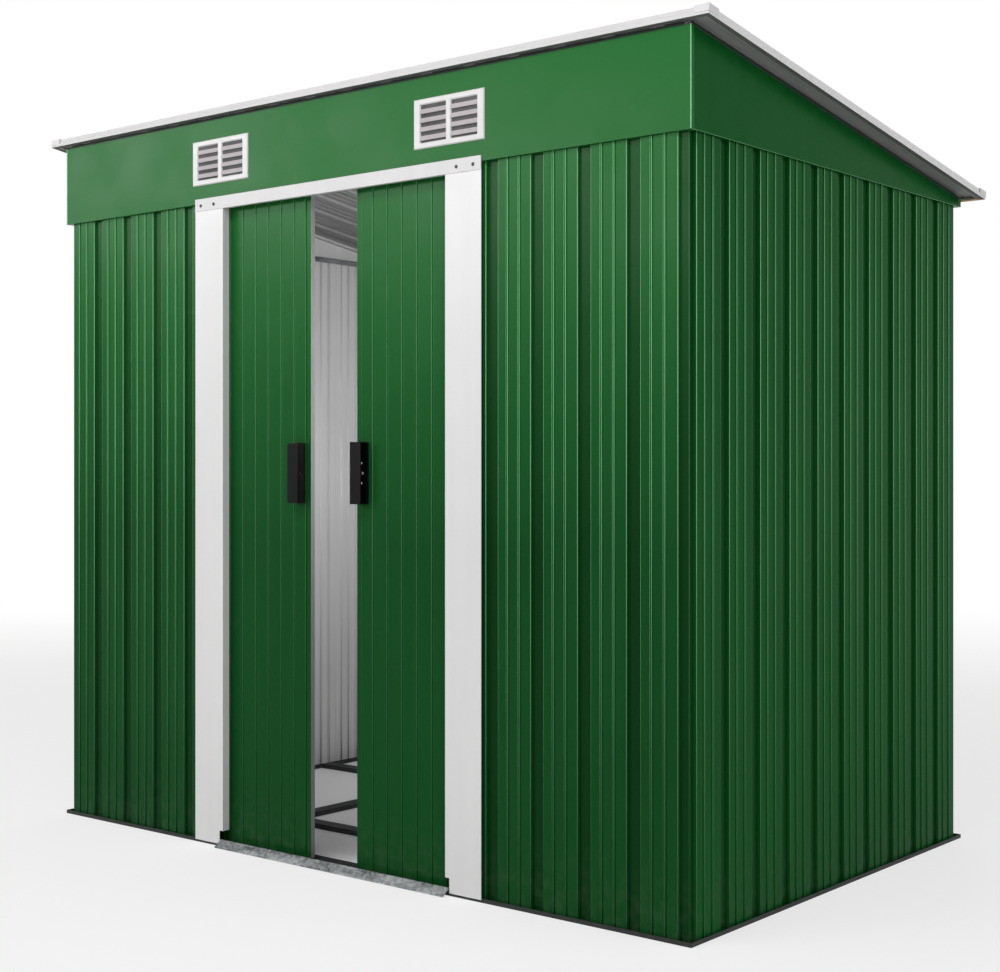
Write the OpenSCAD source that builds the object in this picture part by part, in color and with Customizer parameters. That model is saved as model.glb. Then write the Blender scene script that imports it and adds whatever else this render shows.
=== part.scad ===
// Garden shed of folded steel sheet with a lean-to roof and two sliding doors.
// Origin: middle of the bounding box on the ground. The doors face -Y.

/* [Base] */
// Width over the base rails
base_w = 1960; // [1640:10:2400]
// Depth over the base rails
base_d = 1225; // [1000:5:1500]
// Clearance between the doors' backs and a base rail's inner lip
rail_gap = 6.3; // [5:0.1:15]
// Height of a base rail's outer lip
rail_lip_h = 9; // [6:1:12]
// Height of a base rail's inner lip
rail_inner_h = 13; // [8:1:20]
// Thickness of the rails' and bars' steel
rail_t = 1.2; // [0.8:0.1:2]
// Width of a foundation bar
bar_w = 38; // [25:1:50]
// Height of a foundation bar
bar_h = 13; // [8:1:20]
// Distance of the two long bars from the shed's middle
bar_y = 306; // [200:1:400]
// Distance of the two rows of short bars from the shed's middle
bar_x = 451; // [300:1:600]

/* [Walls] */
// Height of the underside of the fascia and gables
eaves_h = 1562; // [1400:1:1800]
// Height of the front fascia
fascia_h = 200; // [160:1:400]
// Height of the rear fascia
rear_fascia_h = 18; // [16:1:250]
// Thickness of the wall, roof and door sheets
sheet_t = 1; // [0.6:0.1:1.5]
// Inset of the wall ribs from the base's edge
wall_inset = 8; // [6:0.5:12]
// Width of the folded returns at the fascia's ends
fascia_return = 10; // [5:1:20]
// Width of the fascia's and gables' top flanges
top_flange = 20; // [16:1:30]
// Height of the rails inside the wall tops
top_rail_h = 13; // [8:1:30]
// Width of the rails inside the wall tops
top_rail_w = 14; // [8:1:25]

/* [Ribs] */
// Distance between ribs
rib_pitch = 120.2; // [110:0.1:140]
// Width of the flat strip between two ribs
valley_w = 26.7; // [20:0.1:40]
// Height of a rib
rib_d = 7; // [4:0.5:8]
// Run of a rib's sloping side
rib_run = 3; // [1:0.5:4]
// Middles of a rib's two beads, from the start of its flat top
bead_at = [26, 57];
// Width of a bead at its foot
bead_w = 9; // [5:0.5:12]
// Height of a bead
bead_h = 2.5; // [1:0.5:3]
// Overlap of neighbouring sheets
lap = 9; // [4:1:11]
// First rib of the left front sheet, from the base's edge
front_rib_left = 20; // [19:1:60]
// Last rib of the right front sheet, from the base's edge
front_rib_right = 36; // [19:1:60]
// First rib of a side wall, from the base's front edge
side_rib = 31; // [20:1:60]

/* [Doorway] */
// Width of the clear doorway
door_gap_w = 714; // [500:1:900]
// How far the door header's lower edge lies below the fascia
header_drop = 18; // [10:1:40]
// Height of the door header
header_h = 30; // [20:1:60]
// Width of the header's lower lip
header_lip = 10; // [4:1:14]
// Width of a door jamb
jamb_w = 101; // [60:1:140]
// Clearance between a jamb's return and the doors' faces
jamb_gap = 5; // [5:0.5:10]
// Thickness of the jambs' and header's steel
jamb_t = 1.2; // [0.8:0.1:1.5]
// Width of the notch at a jamb's foot
notch_w = 12; // [5:1:30]
// Height of the top of the notch at a jamb's foot
notch_z = 38; // [30:1:60]
// Height of the jambs' feet
jamb_foot_z = 5.5; // [2:0.5:8]
// How far the sill's toe stands out from the base
sill_out = 19.5; // [15:0.5:40]
// Height of the sill
sill_h = 17; // [12:1:25]
// How far the sill passes each side of the doorway
sill_side = 10; // [0:1:11]

/* [Doors] */
// Width of one door
door_w = 375; // [300:1:450]
// Clearance between the backs of the walls and the doors' faces
door_clear = 8.5; // [8:0.5:12]
// Thickness of a door
door_t = 15; // [10:0.5:16]
// Height of the doors' lower edges
door_foot_z = 8; // [6:0.5:12]
// Gap between the doors and the track above
door_top_gap = 8; // [5:0.5:15]
// Height of the rails inside a door's top and foot
door_rail_h = 25; // [15:1:60]
// Width of the recessed strip at a door's meeting edge
stile_w = 15.9; // [8:0.1:30]
// Depth of the recessed strip and of the grooves
groove_d = 2.5; // [1:0.1:4]
// Width of a groove
groove_w = 4; // [2:0.1:8]
// First groove, from the door's meeting edge
groove_first = 52.5; // [40:0.5:80]
// Distance between the grooves
groove_pitch = 44.4; // [30:0.1:60]
// Meeting edge of the left door as it stands, from the middle
left_door_open = 81.7; // [10:0.1:200]
// Meeting edge of the right door as it stands, from the middle
right_door_open = 67.3; // [10:0.1:200]

/* [Track and hangers] */
// How far the track's underside lies below the fascia
track_drop = 6; // [4:1:20]
// Height of the track
track_h = 28; // [24:1:40]
// Clearance between a roller and the track's back
track_gap = 3.8; // [1:0.1:8]
// Slot in the track's underside
track_slot = 8; // [5:0.5:12]
// Radius of a roller
roller_r = 8; // [5:0.5:9]
// Width of a roller
roller_w = 6; // [4:0.5:7]
// Running clearance of the rollers and glides
run_gap = 0.3; // [0.2:0.1:1]
// Width of a hanger's plate
hanger_w = 40; // [25:1:60]
// Thickness of a hanger's plate
hanger_t = 2; // [1:0.5:3]
// Middle of a hanger or glide, from the door's edge
hanger_at = 60; // [40:1:120]
// Length of a bottom glide
glide_w = 30; // [15:1:50]
// Thickness of a bottom glide
glide_t = 9; // [5:0.5:9]

/* [Handles] */
// Height of a handle
handle_h = 140; // [100:1:200]
// Width of a handle
handle_w = 33; // [25:1:45]
// How far a handle stands out from its door
handle_out = 27; // [20:1:35]
// Wall of a handle
handle_t = 3; // [2:0.5:5]
// Height of a handle's foot
handle_z = 834; // [600:1:1100]
// Cut corners of a handle's grip
handle_cut = 4; // [2:0.5:8]
// Left handle, from its door's meeting edge
handle_left_at = 15.8; // [3:0.1:25]
// Right handle, from its door's meeting edge
handle_right_at = 5.7; // [3:0.1:25]
// Radius of the padlock hole in a handle
padlock_r = 4; // [3:0.5:6]

/* [Vents] */
// Width of a vent
vent_w = 200; // [120:1:300]
// Height of a vent
vent_h = 108; // [60:1:120]
// Distance of the vents from the shed's middle
vent_x = 367; // [200:1:500]
// Height of a vent's lower edge above the fascia's foot
vent_rise = 45; // [20:1:80]
// Side border of a vent
vent_side = 20; // [10:1:30]
// Top and bottom border of a vent
vent_edge = 13; // [8:1:20]
// Width of a vent's middle bar
vent_bar = 16; // [8:1:30]
// How far a vent stands out from the fascia
vent_t = 3; // [3:0.5:10]
// Slats in each half of a vent
slat_count = 4; // [2:1:6]
// Height of a slat
slat_h = 10; // [6:0.5:14]
// Thickness of a slat
slat_t = 1.5; // [1:0.1:3]
// Tilt of a slat
slat_tilt = 35; // [10:1:50]

/* [Roof] */
// Roof overhang at the front, from the base's edge
over_front = 15.4; // [10:0.1:24]
// Roof overhang at the rear, from the base's edge
over_rear = 36; // [20:1:80]
// Roof overhang at each side, from the base's edge
over_side = 47.6; // [30:0.1:80]
// Height of the rails under the roof sheets
roof_rail_h = 7; // [4:0.5:12]
// Width of the rails under the roof sheets
roof_rail_w = 14; // [10:1:20]
// Height of the roof trim
trim_h = 19; // [19:1:30]
// Width of the roof trim's top
trim_w = 18; // [15:1:30]
// Width of the roof trim's lower leg
trim_leg = 12; // [8:1:15]
// Setback of the trim's upper face
trim_step = 1.6; // [0.5:0.1:3]
// Length of a corner cap
cap_l = 34; // [26:1:60]
// Height of a corner cap's sides
cap_h = 15; // [8:1:17]
// Thickness of a corner cap
cap_t = 1; // [0.8:0.1:2]
// Number of roof sheets
roof_sheets = 4; // [2:1:4]

/* [Hidden] */

green = [0.13, 0.33, 0.17];
white = [0.88, 0.88, 0.88];
steel = [0.62, 0.64, 0.65];
dark_steel = [0.2, 0.21, 0.22];
black = [0.08, 0.08, 0.08];

// The shed's front edge lies where the whole bounding box is centred on the origin
front_reach = max(sill_out, over_front);
mid_y = (front_reach - over_rear) / 2;

// Planes of the walls, as depths behind the base's edge
rib_w = rib_pitch - valley_w - 2 * rib_run;
valley = wall_inset + rib_d;
wall_back = valley + sheet_t;
wall_z = rail_t;
corner = valley;

// The doors' planes
door_inset = wall_back + door_clear;
door_back = door_inset + door_t;
door_mid = door_inset + door_t / 2;
groove_back = door_inset + groove_d + sheet_t;
rail_w = door_back + rail_gap + rail_t;

// Heights above the walls
front_h = eaves_h + fascia_h;
rear_h = eaves_h + rear_fascia_h;
vent_z = eaves_h + vent_rise;
track_z = eaves_h - track_drop;
header_z = eaves_h - header_drop;
door_top_z = track_z - door_top_gap;
roller_z = track_z + rail_t + run_gap + roller_r;
track_w = door_mid + hanger_t / 2 + roller_w + track_gap + rail_t - wall_back;

// Roof slope; the fascia's outer faces stand over the base's edges
roof_fall = (front_h - rear_h) / base_d;
roof_slope = atan(roof_fall);
roof_front = over_front / cos(roof_slope);
roof_l = (base_d + over_front + over_rear) / cos(roof_slope);
roof_w = base_w + 2 * over_side;
trim_z = roof_rail_h - sheet_t;
roof_crest_z = roof_rail_h + rib_d + sheet_t;
trim_lip_z = roof_crest_z + bead_h + run_gap;
roof_ribs = floor((roof_w - 2 * (trim_w + rib_run + run_gap) - rib_w) / rib_pitch) + 1;
roof_first = -((roof_ribs - 1) * rib_pitch + rib_w) / 2;
sheet_back = trim_step + sheet_t + run_gap;

// The jambs lie against the base rail and the fascia, and the header lies on the jambs
jamb_in = door_gap_w / 2;
jamb_out = jamb_in + jamb_w;
jamb_back = door_inset - jamb_gap;
header_front = -2 * jamb_t;
panel_end = jamb_in + jamb_t + 12;

// ---- helpers ----

// Unit normal on the left of the way from a to b
function left_of(a, b) = [a[1] - b[1], b[0] - a[0]] / norm(b - a);

// Mitred offset of one point of a line
function mitre(p, i) =
    let (n0 = left_of(p[max(i, 1) - 1], p[max(i, 1)]),
         last = min(i, len(p) - 2),
         n1 = left_of(p[last], p[last + 1]))
    (n0 + n1) / (1 + n0 * n1);

// Outline of a folded sheet whose outer face is the line p
function sheet(p, t) = concat(p, [for (i = [len(p) - 1:-1:0]) p[i] + t * mitre(p, i)]);

// Points of one rib whose flat top starts at u, with depths behind the base's edge
function rib(u, top) = concat(
    [[u - rib_run, top + rib_d], [u, top]],
    [for (b = bead_at) each [[u + b - bead_w / 2, top], [u + b - bead_w / 4, top - bead_h],
        [u + b + bead_w / 4, top - bead_h], [u + b + bead_w / 2, top]]],
    [[u + rib_w, top], [u + rib_w + rib_run, top + rib_d]]);

// Points of a ribbed sheet from u0 to u1, with count ribs from first on
function ribbed(u0, u1, first, count, top) = concat(
    [[u0, top + rib_d]],
    [for (i = [0:1:count - 1]) each rib(first + i * rib_pitch, top)],
    [[u1, top + rib_d]]);

// The same, where the start laps over the sheet that ends at the seam
function ribbed_lapped(seam, u1, first, count, top) = concat(
    [[seam - lap, top + rib_d - sheet_t], [seam + sheet_t / 2, top + rib_d - sheet_t],
        [seam + sheet_t * 3 / 2, top + rib_d]],
    [for (i = [0:1:count - 1]) each rib(first + i * rib_pitch, top)],
    [[u1, top + rib_d]]);

// Middle of the valley before rib i
function seam_at(first, i) = first + i * rib_pitch - (rib_pitch - rib_w) / 2;

// Ribs that fit between two places, where the first starts at the lower one
function rib_count(from, to) = floor((to - from - rib_w) / rib_pitch) + 1;

// Depth of the base's edge from the shed's middle, on the sides that face X or Y
function half(turn) = (turn % 180 == 0 ? base_d : base_w) / 2;

// Places children on one side of the shed: X runs along it and Y goes inwards
module on_side(turn) translate([0, mid_y, 0]) rotate([0, 0, turn]) translate([0, -half(turn), 0]) children();
module on_front() on_side(0) children();
module on_right() on_side(90) children();
module on_rear() on_side(180) children();
module on_left() mirror([1, 0, 0]) on_right() children();

// Extrudes a section of (depth, height) along X
module along_x(length) rotate([90, 0, 90]) linear_extrude(height = length, center = true) children();

// A bar of the given section whose two ends are cut at 45 degrees
module mitred(length, width, low, high) intersection() {
    along_x(length) children();
    translate([0, 0, low])
        linear_extrude(height = high - low)
            polygon([[-length / 2, 0], [length / 2, 0], [length / 2 - width, width],
                [-length / 2 + width, width]]);
}

// The roof's own frame: X across, Y down the slope, Z square to it
module on_roof() translate([0, mid_y - base_d / 2, front_h]) rotate([-roof_slope, 0, 0]) children();

// ---- base ----

module base_rail(length) color(dark_steel)
    mitred(length, rail_w, 0, rail_inner_h)
        polygon(sheet([[0, rail_lip_h], [0, 0], [rail_w, 0], [rail_w, rail_inner_h]], rail_t));

module base_rail_front() on_front() base_rail(base_w);
module base_rail_rear() on_rear() base_rail(base_w);
module base_rail_right() on_right() base_rail(base_d);
module base_rail_left() on_left() base_rail(base_d);

// An upturned channel, with its middle on X
module foundation_bar(length) color(dark_steel)
    along_x(length)
        polygon(sheet([[-bar_w / 2, 0], [-bar_w / 2, bar_h], [bar_w / 2, bar_h], [bar_w / 2, 0]], -rail_t));

module foundation_bars_long()
    for (side = [-1, 1])
        translate([0, mid_y + side * bar_y, 0]) foundation_bar(base_w - 2 * rail_w);

module foundation_bars_short() {
    inner = 2 * bar_y - bar_w;
    outer = base_d / 2 - rail_w - bar_y - bar_w / 2;
    for (x = [-bar_x, bar_x]) {
        translate([x, mid_y, 0]) rotate([0, 0, 90]) foundation_bar(inner);
        for (side = [-1, 1])
            translate([x, mid_y + side * (bar_y + bar_w / 2 + outer / 2), 0])
                rotate([0, 0, 90]) foundation_bar(outer);
    }
}

module door_sill() color(steel)
    on_front()
        along_x(door_gap_w + 2 * sill_side)
            polygon(sheet([[2 * rail_t, wall_z], [2 * rail_t, sill_h], [-rail_t, sill_h],
                [-sill_out, rail_t], [-sill_out, 0]], rail_t));

// ---- walls ----

module wall_sheet(points) color(green)
    translate([0, 0, wall_z]) linear_extrude(height = eaves_h - wall_z) polygon(sheet(points, sheet_t));

module front_wall_left() on_front() {
    first = -base_w / 2 + front_rib_left;
    wall_sheet(ribbed(-base_w / 2 + corner, -panel_end, first, rib_count(first, -panel_end), wall_inset));
}

module front_wall_right() on_front() {
    count = rib_count(panel_end, base_w / 2 - front_rib_right);
    first = base_w / 2 - front_rib_right - rib_w - (count - 1) * rib_pitch;
    wall_sheet(ribbed(panel_end, base_w / 2 - corner, first, count, wall_inset));
}

side_end = base_d / 2 - wall_back;
side_first = -base_d / 2 + side_rib;
side_ribs = rib_count(side_first, side_end - rib_run);
side_half = floor(side_ribs / 2);

module side_wall_front()
    wall_sheet(ribbed(-side_end, seam_at(side_first, side_half), side_first, side_half, wall_inset));

module side_wall_rear()
    wall_sheet(ribbed_lapped(seam_at(side_first, side_half), side_end, side_first + side_half * rib_pitch,
        side_ribs - side_half, wall_inset));

module right_wall_front() on_right() side_wall_front();
module right_wall_rear() on_right() side_wall_rear();
module left_wall_front() on_left() side_wall_front();
module left_wall_rear() on_left() side_wall_rear();

rear_end = base_w / 2 - corner;
rear_ribs = rib_count(-rear_end + rib_run, rear_end - rib_run);
rear_first = -((rear_ribs - 1) * rib_pitch + rib_w) / 2;
rear_half = floor(rear_ribs / 2);

module rear_wall_right() on_rear()
    wall_sheet(ribbed(-rear_end, seam_at(rear_first, rear_half), rear_first, rear_half, wall_inset));

module rear_wall_left() on_rear()
    wall_sheet(ribbed_lapped(seam_at(rear_first, rear_half), rear_end, rear_first + rear_half * rib_pitch,
        rear_ribs - rear_half, wall_inset));

// ---- fascia and gables ----

// Folded fascia with a top flange along the roof and a foot over the wall
module fascia(top_z, fall) color(green) {
    flange_z = top_z - fall * top_flange;
    along_x(base_w - 4 * sheet_t)
        polygon(sheet([[top_flange, flange_z], [0, top_z], [0, eaves_h], [wall_back, eaves_h]], sheet_t));
    along_x(base_w)
        polygon([[0, eaves_h], [sheet_t, eaves_h], [sheet_t, top_z - fall * sheet_t], [0, top_z]]);
    for (side = [-1, 1])
        translate([side * (base_w - sheet_t) / 2, 0, 0])
            along_x(sheet_t)
                polygon([[0, eaves_h], [fascia_return, eaves_h],
                    [fascia_return, top_z - fall * fascia_return], [0, top_z]]);
}

// Hole in the fascia behind each vent
module vent_holes()
    for (side = [-1, 1])
        translate([side * vent_x - vent_w / 2 + vent_side, -1, vent_z + vent_edge])
            cube([vent_w - 2 * vent_side, wall_inset, vent_h - 2 * vent_edge]);

module front_fascia() color(green) on_front() difference() {
    fascia(front_h, roof_fall);
    vent_holes();
}

module rear_fascia() on_rear() fascia(rear_h, -roof_fall);

// Gable in the right side's frame, where X runs from front to rear
module gable() color(green) {
    near = -base_d / 2 + sheet_t;
    far = -near;
    top_near = front_h - roof_fall * sheet_t;
    top_far = rear_h + roof_fall * sheet_t;
    band_near = near + top_flange;
    band_far = far - top_flange;
    fall_in = roof_fall * top_flange;
    translate([0, 2 * sheet_t, 0]) rotate([90, 0, 0]) linear_extrude(height = sheet_t)
        polygon([[near, eaves_h], [far, eaves_h], [far, top_far], [near, top_near]]);
    translate([-base_d / 2 + wall_back, sheet_t, eaves_h])
        cube([base_d - 2 * wall_back, wall_back - sheet_t, sheet_t]);
    translate([0, sheet_t + top_flange, 0]) rotate([90, 0, 0]) linear_extrude(height = top_flange)
        polygon([[band_near, top_near - fall_in], [band_far, top_far + fall_in],
            [band_far, top_far + fall_in - sheet_t], [band_near, top_near - fall_in - sheet_t]]);
}

module right_gable() on_right() gable();
module left_gable() on_left() gable();

// ---- vents ----

module vent() {
    half_w = (vent_w - 2 * vent_side - vent_bar) / 2;
    clear_h = vent_h - 2 * vent_edge;
    difference() {
        translate([-vent_w / 2, 0, 0]) cube([vent_w, vent_t, vent_h]);
        for (side = [-1, 1])
            translate([side * (half_w + vent_bar) / 2 - half_w / 2, -1, vent_edge])
                cube([half_w, vent_t + 2, clear_h]);
    }
    intersection() {
        translate([-vent_w / 2, 0, 0]) cube([vent_w, vent_t, vent_h]);
        for (i = [1:slat_count])
            translate([0, vent_t / 2, vent_edge + clear_h * i / (slat_count + 1)])
                rotate([-90 + slat_tilt, 0, 0])
                    cube([2 * half_w + vent_bar + 2, slat_h, slat_t], center = true);
    }
}

module vents() color(white) on_front()
    for (side = [-1, 1])
        translate([side * vent_x, -vent_t, vent_z]) vent();

// ---- doorway ----

// Plate over the jambs' tops, with a lip between them
module door_header() color(white)
    on_front() {
        translate([-jamb_out, header_front, header_z]) cube([2 * jamb_out, jamb_t, header_h]);
        translate([run_gap - jamb_in, header_front, header_z]) cube([door_gap_w - 2 * run_gap, header_lip, jamb_t]);
    }

// Right jamb in the front's frame
module jamb() color(white)
    difference() {
        translate([0, 0, jamb_foot_z])
            linear_extrude(height = header_z + header_h - jamb_foot_z)
                polygon(sheet([[jamb_in, jamb_back], [jamb_in, -jamb_t], [jamb_out, -jamb_t]], jamb_t));
        translate([jamb_in - 1, -jamb_t - 1, 0]) cube([notch_w + 1, jamb_back + jamb_t + 2, notch_z]);
        translate([jamb_in - 1, 0, eaves_h]) cube([jamb_t + 2, jamb_back + 1, header_h]);
        translate([jamb_in - 1, wall_back - sheet_t, track_z - sheet_t]) cube([jamb_t + 2, jamb_back, track_h]);
    }

module door_jamb_right() on_front() jamb();
module door_jamb_left() mirror([1, 0, 0]) on_front() jamb();

module door_top_track() color(steel)
    on_front() {
        slot_a = door_mid - track_slot / 2;
        slot_b = door_mid + track_slot / 2;
        top_z = track_z + track_h;
        along_x(base_w - 2 * wall_back)
            polygon(sheet([[slot_b, track_z], [wall_back + track_w, track_z], [wall_back + track_w, top_z],
                [wall_back, top_z], [wall_back, track_z], [slot_a, track_z]], rail_t));
    }

// Angle inside a wall's top, in that wall's frame
module top_rail(from, to) color(steel)
    translate([(from + to) / 2, 0, 0])
        along_x(to - from)
            polygon(sheet([[wall_back, eaves_h - top_rail_h + 3], [wall_back, eaves_h + 3],
                [wall_back + top_rail_w, eaves_h + 3]], -rail_t));

module top_rails() {
    from = -base_d / 2 + wall_back + track_w + sheet_t;
    to = base_d / 2 - wall_back;
    on_right() top_rail(from, to);
    on_left() top_rail(from, to);
    across = base_w / 2 - wall_back - top_rail_w - sheet_t;
    on_rear() top_rail(-across, across);
}

// ---- roof ----

// Channel under the roof sheets, with its outer side at Y = 0
module roof_rail(length) color(dark_steel)
    along_x(length)
        polygon(sheet([[0, 0], [0, roof_rail_h], [roof_rail_w, roof_rail_h], [roof_rail_w, 0]], -sheet_t));

module roof_rails() on_roof() {
    edge = 2 * sheet_t;
    depth = base_d / cos(roof_slope);
    inset = 2 * sheet_t;
    across = base_w - 2 * (edge + roof_rail_w) - 2 * sheet_t;
    translate([0, inset, 0]) roof_rail(across);
    translate([0, depth - inset - roof_rail_w, 0]) roof_rail(across);
    for (side = [-1, 1])
        translate([side * (base_w / 2 - edge), 0, 0]) rotate([0, 0, side * 90])
            translate([side * depth / 2, 0, 0]) roof_rail(depth - 2 * inset);
}

// Sheet number i of the roof, counted from the left
module roof_sheet(i) color(green) on_roof() {
    a = floor(i * roof_ribs / roof_sheets);
    b = floor((i + 1) * roof_ribs / roof_sheets);
    edge = roof_w / 2 - sheet_back;
    first = roof_first + a * rib_pitch;
    end = i == roof_sheets - 1 ? edge : seam_at(roof_first, b);
    points = i == 0 ? ribbed(-edge, end, first, b - a, 0)
        : ribbed_lapped(seam_at(roof_first, a), end, first, b - a, 0);
    outline = [for (p = sheet(points, sheet_t)) [p[0], roof_crest_z - p[1]]];
    translate([0, roof_l - roof_front - sheet_back, 0]) rotate([90, 0, 0])
        linear_extrude(height = roof_l - 2 * sheet_back) polygon(outline);
}

module roof_sheet_1() roof_sheet(0);
module roof_sheet_2() roof_sheet(1);
module roof_sheet_3() roof_sheet(2);
module roof_sheet_4() roof_sheet(3);

// Edge trim whose outer face is at Y = 0; its inner lip ends at lip_z
module roof_trim(length, lip_z) color(white)
    mitred(length, trim_w, 0, trim_z + trim_h) {
        top = trim_z + trim_h;
        mid = trim_z + trim_h * 0.42;
        polygon(sheet([[trim_w, lip_z], [trim_w, top], [trim_step * 2.4, top], [trim_step, top - trim_step],
            [trim_step, mid + trim_step], [0, mid], [0, trim_z], [trim_leg, trim_z]], sheet_t));
    }

module roof_trim_front() on_roof() translate([0, -roof_front, 0]) roof_trim(roof_w, trim_lip_z);
module roof_trim_rear() on_roof()
    translate([0, roof_l - roof_front, 0]) rotate([0, 0, 180]) roof_trim(roof_w, trim_lip_z);
module roof_trim_right() on_roof()
    translate([roof_w / 2, roof_l / 2 - roof_front, 0]) rotate([0, 0, 90])
        roof_trim(roof_l, roof_rail_h + sheet_t + run_gap);
module roof_trim_left() mirror([1, 0, 0]) roof_trim_right();

// Cap over a corner of the trim, with that corner at the origin
module corner_cap() {
    top = trim_z + trim_h;
    difference() {
        translate([-cap_t, -cap_t, top + cap_t - cap_h]) cube([cap_l + cap_t, cap_l + cap_t, cap_h]);
        cube([cap_l + 1, cap_l + 1, top]);
        translate([trim_w, trim_w, 0]) cube([cap_l, cap_l, top + cap_t + 1]);
    }
}

module roof_corner_caps() color(white) on_roof()
    for (side = [0, 1])
        mirror([side, 0, 0])
            for (rear = [0, 1])
                translate([0, rear * (roof_l - 2 * roof_front), 0])
                    mirror([0, rear, 0])
                        translate([-roof_w / 2, -roof_front, 0]) corner_cap();

// ---- doors ----

// Places a door: X runs outwards from its meeting edge, Y goes inwards
module at_right_door() on_front() translate([right_door_open, 0, 0]) children();
module at_left_door() mirror([1, 0, 0]) on_front() translate([left_door_open, 0, 0]) children();

function groove(u) = [[u - groove_w / 2, door_inset], [u - groove_w / 4, door_inset + groove_d],
    [u + groove_w / 4, door_inset + groove_d], [u + groove_w / 2, door_inset]];

module door_panel() color(green) {
    grooves = floor((door_w - groove_first - groove_w) / groove_pitch) + 1;
    translate([0, 0, door_foot_z])
        linear_extrude(height = door_top_z - door_foot_z)
            polygon(sheet(concat([[0, door_back], [0, door_inset + groove_d], [stile_w, door_inset + groove_d],
                [stile_w, door_inset]],
                [for (i = [0:grooves - 1]) each groove(groove_first + i * groove_pitch)],
                [[door_w, door_inset], [door_w, door_back]]), sheet_t));
}

// Channels inside the panel's foot and top
module door_rails() color(green) {
    foot = door_foot_z;
    top = door_top_z;
    translate([door_w / 2, 0, 0])
        along_x(door_w - 2 * sheet_t) {
            polygon(sheet([[groove_back, foot + door_rail_h], [groove_back, foot], [door_back, foot],
                [door_back, foot + door_rail_h]], sheet_t));
            polygon(sheet([[groove_back, top - door_rail_h], [groove_back, top], [door_back, top],
                [door_back, top - door_rail_h]], -sheet_t));
        }
}

// Hanger that stands on the door's top, with a roller on each side of its plate
module hanger() color(steel) {
    foot_t = groove_back;
    translate([-hanger_w / 2, foot_t, door_top_z]) cube([hanger_w, door_back - foot_t, hanger_t]);
    translate([-hanger_w / 2, door_mid - hanger_t / 2, door_top_z])
        cube([hanger_w, hanger_t, roller_z + roller_r - door_top_z]);
    translate([0, door_mid, roller_z]) rotate([90, 0, 0])
        cylinder(r = roller_r, h = hanger_t + 2 * roller_w, center = true, $fn = 48);
}

module door_hangers() {
    translate([hanger_at, 0, 0]) hanger();
    translate([door_w - hanger_at, 0, 0]) hanger();
}

// Block under the door that runs on the base rail's floor
module door_glides() color(black)
    for (x = [hanger_at, door_w - hanger_at])
        translate([x - glide_w / 2, door_mid - glide_t / 2, rail_t + run_gap])
            cube([glide_w, glide_t, door_foot_z - rail_t - run_gap]);

// Pull with its web at X = 0, open on its outer side; Y = 0 is the door's face
module pull_handle() color(black) {
    difference() {
        union() {
            translate([0, -handle_t, 0]) cube([handle_w, handle_t, handle_h]);
            translate([0, -handle_out, 0]) cube([handle_t, handle_out, handle_h]);
            translate([0, handle_t - handle_out, 0]) rotate([90, 0, 0]) linear_extrude(height = handle_t)
                polygon([[0, 0], [handle_w - handle_cut, 0], [handle_w, handle_cut],
                    [handle_w, handle_h - handle_cut], [handle_w - handle_cut, handle_h], [0, handle_h]]);
            for (z = [0, handle_h - handle_t])
                translate([0, -handle_out, z]) cube([handle_w - handle_cut, handle_out, handle_t]);
        }
        translate([-1, -handle_out / 2, handle_h / 2]) rotate([0, 90, 0])
            cylinder(r = padlock_r, h = handle_t + 2, $fn = 32);
    }
}

module left_door_panel() at_left_door() door_panel();
module left_door_rails() at_left_door() door_rails();
module left_door_hangers() at_left_door() door_hangers();
module left_door_glides() at_left_door() door_glides();
module left_door_handle() at_left_door() translate([handle_left_at, door_inset, handle_z]) pull_handle();

module right_door_panel() at_right_door() door_panel();
module right_door_rails() at_right_door() door_rails();
module right_door_hangers() at_right_door() door_hangers();
module right_door_glides() at_right_door() door_glides();
module right_door_handle() at_right_door() translate([handle_right_at, door_inset, handle_z]) pull_handle();

base_rail_front();
base_rail_rear();
base_rail_left();
base_rail_right();
foundation_bars_long();
foundation_bars_short();
door_sill();
front_wall_left();
front_wall_right();
left_wall_front();
left_wall_rear();
right_wall_front();
right_wall_rear();
rear_wall_left();
rear_wall_right();
front_fascia();
rear_fascia();
left_gable();
right_gable();
vents();
door_header();
door_jamb_left();
door_jamb_right();
door_top_track();
top_rails();
roof_rails();
roof_sheet_1();
roof_sheet_2();
roof_sheet_3();
roof_sheet_4();
roof_trim_front();
roof_trim_rear();
roof_trim_left();
roof_trim_right();
roof_corner_caps();
left_door_panel();
left_door_rails();
left_door_hangers();
left_door_glides();
left_door_handle();
right_door_panel();
right_door_rails();
right_door_hangers();
right_door_glides();
right_door_handle();
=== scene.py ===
import math

import bmesh
import bpy
from mathutils import Matrix, Vector
from mathutils.geometry import tessellate_polygon


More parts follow.
